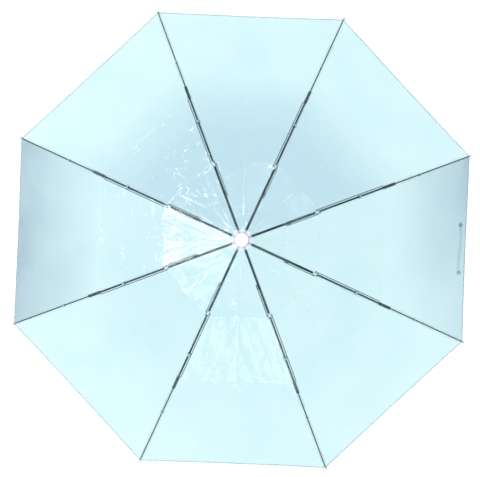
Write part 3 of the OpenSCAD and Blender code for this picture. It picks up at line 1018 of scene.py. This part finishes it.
class UMBRELLA_OT_handle(bpy.types.Operator):
    """Turn the white grip, with its grip rings and the eye for a cord"""

    bl_idname = "umbrella.handle"
    bl_label = "Handle"

    def execute(self, context):
        low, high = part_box("handle")
        grip = (high[0] - low[0]) / 2
        top, white = high[2], finish_named("white_plastic")
        foot = low[2] + 0.0135
        tube = (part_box("lower_tube")[1][0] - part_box("lower_tube")[0][0]) / 2
        profile = [(0, foot), (grip - 0.0064, foot), *arc(grip - 0.006, foot + 0.006, 0.006, -80, -5, 8)]
        for k in range(13):
            z = foot + 0.012 + (top - foot - 0.027) * k / 12
            swell = 0.0006 * math.sin(math.pi * k / 12)
            profile.append((grip - 0.0008 + swell, z))
        profile += arc(grip - 0.0062, top - 0.0115, 0.006, 10, 80, 8)
        profile += [(tube + 0.0034, top - 0.0042), (tube + 0.0031, top - 0.0006), (tube + 0.0024, top)]
        profile += [(tube + 0.0004, top), (tube + 0.0002, top - 0.001), (0, top - 0.0011)]
        body = lathe("grip_body", profile, Vector(), white, 72)
        tree = ring_tree(white)
        count = 7
        spacing = 0.0052
        start = -spacing * (count - 1) / 2
        seed = [[Vector((0, 0, start)), Vector((0, 0, start + 1e-5))]]
        sizes = {"Count": count, "Spacing": spacing, "Radius": grip - 0.0006, "Thickness": 0.0006}
        rings = grown("grip_rings", tree, seed, **sizes)
        eye = self.eye(low[2], foot, white)
        for ob in (body, rings, eye):
            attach(ob, "grip")
        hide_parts("handle")
        return {"FINISHED"}

    def eye(self, bottom, foot, material):
        """A flat lug below the grip, with a round hole for a cord."""
        half, hole, thick = 0.006, 0.002, 0.0025
        centre_z = bottom + half
        outer, inner = [], []
        turns = 36
        for k in range(turns):
            a = math.tau * k / turns
            y, z = math.cos(a), math.sin(a)
            top = foot + 0.001 - centre_z
            wide = half * max(-1, min(1, y * (1.42 if z > 0 else 1)))
            outer.append((wide, half * z if z <= 0 else min(top, half * z * 2)))
            inner.append((hole * y, hole * z))
        verts, faces = [], []
        for x in (-thick, thick):
            for ring in (outer, inner):
                verts += [Vector((x, y, centre_z + z)) for y, z in ring]
        for k in range(turns):
            m = (k + 1) % turns
            o0, o1, i0, i1 = k, m, turns + k, turns + m
            b = 2 * turns
            faces += [(o0, o1, i1, i0), (b + o0, b + i0, b + i1, b + o1)]
            faces += [(o0, b + o0, b + o1, o1), (i0, i1, b + i1, b + i0)]
        return face_out(make_mesh("cord_eye", verts, faces, material, smooth=False))


class UMBRELLA_OT_frame(bpy.types.Operator):
    """Give every metal and moulded part of the frame its own finish"""

    bl_idname = "umbrella.frame"
    bl_label = "Frame finishes"

    def execute(self, context):
        slots = {s["node"]: s["material_slot"] for s in frame["record"]["subparts"]}
        for node, ob in frame["nodes"].items():
            if slots[node] in ("clear_film",):
                continue
            material = finish_named(slots[node])
            for k in range(max(1, len(ob.material_slots))):
                if k < len(ob.material_slots):
                    ob.material_slots[k].material = material
                else:
                    ob.data.materials.append(material)
        return {"FINISHED"}


class UMBRELLA_OT_camera(bpy.types.Operator):
    """Place the camera straight above the crown"""

    bl_idname = "umbrella.camera"
    bl_label = "Camera"

    def execute(self, context):
        p = props()
        data = bpy.data.cameras.new("camera")
        data.lens = p.lens
        data.sensor_width = 36
        data.shift_x = -0.0037
        data.shift_y = 0.0031
        camera = bpy.data.objects.new("camera", data)
        camera.location = (0, 0, CROWN_Z + p.camera_height)
        camera.rotation_euler = (0, 0, p.camera_turn)
        context.scene.collection.objects.link(camera)
        context.scene.camera = camera
        return {"FINISHED"}


def soft_light(name, direction, distance, size, power, colour=(1, 1, 1)):
    """A rectangular soft light that faces the crown from a direction."""
    data = bpy.data.lights.new(name, "AREA")
    data.shape = "RECTANGLE"
    data.size, data.size_y = size
    data.energy = power
    data.color = colour
    ob = bpy.data.objects.new(name, data)
    aim = Vector((0, 0, CROWN_Z))
    ob.location = aim + Vector(direction).normalized() * distance
    ob.rotation_euler = (ob.location - aim).to_track_quat("Z", "Y").to_euler()
    bpy.context.scene.collection.objects.link(ob)


class UMBRELLA_OT_stage(bpy.types.Operator):
    """Lay the pale floor and light the studio"""

    bl_idname = "umbrella.stage"
    bl_label = "Studio"

    def execute(self, context):
        size, z = 6.0, CAD_BOX[0][2] - 0.001
        corners = [(-size, -size, z), (size, -size, z), (size, size, z), (-size, size, z)]
        floor = make_mesh("floor", corners, [(0, 1, 2, 3)], finish_named("floor"))
        context.scene.view_settings.view_transform = "Standard"
        world = bpy.data.worlds.new("studio")
        context.scene.world = world
        world.use_nodes = True
        nodes, links = world.node_tree.nodes, world.node_tree.links
        back = nodes["Background"]
        back.inputs["Color"].default_value = (0.96, 0.98, 1.0, 1)
        place = nodes.new("ShaderNodeTexCoord")
        split = nodes.new("ShaderNodeSeparateXYZ")
        ramp = nodes.new("ShaderNodeMapRange")
        ramp.inputs["From Min"].default_value = 0.25
        ramp.inputs["From Max"].default_value = 0.85
        ramp.inputs["To Min"].default_value = 0.9
        ramp.inputs["To Max"].default_value = 0.12
        links.new(place.outputs["Generated"], split.inputs[0])
        links.new(split.outputs["Z"], ramp.inputs["Value"])
        links.new(ramp.outputs["Result"], back.inputs["Strength"])
        soft_light("left_box", (-0.56, 0.04, 0.80), 2.6, (0.6, 1.25), 30)
        soft_light("upper_left_box", (-0.50, 0.48, 0.74), 2.8, (0.35, 0.45), 9)
        soft_light("lower_left_strip", (-0.30, -0.34, 0.86), 2.6, (0.16, 0.7), 9)
        soft_light("top_spark", (0.06, 0.50, 0.86), 2.6, (0.12, 0.12), 3)
        soft_light("upper_right_spark", (0.40, 0.42, 0.82), 2.6, (0.12, 0.12), 3)
        soft_light("overhead", (0.03, 0.02, 1.0), 3.4, (1.0, 1.0), 40)
        soft_light("front_fill", (0.2, -0.9, 0.7), 3.0, (1.2, 1.2), 12)
        return {"FINISHED"}


ORDER = ("camera", "stage", "film", "hem", "seams", "tips", "cap", "strap", "handle", "frame")


class UMBRELLA_PT_panel(bpy.types.Panel):
    """The umbrella's settings and steps"""

    bl_idname = "UMBRELLA_PT_panel"
    bl_label = "Umbrella"
    bl_space_type = "VIEW_3D"
    bl_region_type = "UI"
    bl_category = "Umbrella"

    def draw(self, context):
        for name in UmbrellaSettings.__annotations__:
            self.layout.prop(context.scene.umbrella, name)
        for name in ORDER:
            self.layout.operator(f"umbrella.{name}")


CLASSES = (
    UmbrellaSettings,
    UMBRELLA_OT_camera,
    UMBRELLA_OT_stage,
    UMBRELLA_OT_film,
    UMBRELLA_OT_hem,
    UMBRELLA_OT_seams,
    UMBRELLA_OT_tips,
    UMBRELLA_OT_cap,
    UMBRELLA_OT_strap,
    UMBRELLA_OT_handle,
    UMBRELLA_OT_frame,
    UMBRELLA_PT_panel,
)


def register():
    """Adds the classes and the scene's settings."""
    for cls in CLASSES:
        bpy.utils.register_class(cls)
    bpy.types.Scene.umbrella = bpy.props.PointerProperty(type=UmbrellaSettings)


def unregister():
    """Takes them away again."""
    del bpy.types.Scene.umbrella
    for cls in reversed(CLASSES):
        bpy.utils.unregister_class(cls)


def main():
    """Builds the umbrella in order."""
    register()
    for name in ORDER:
        getattr(bpy.ops.umbrella, name)()


if __name__ == "__main__":
    main()
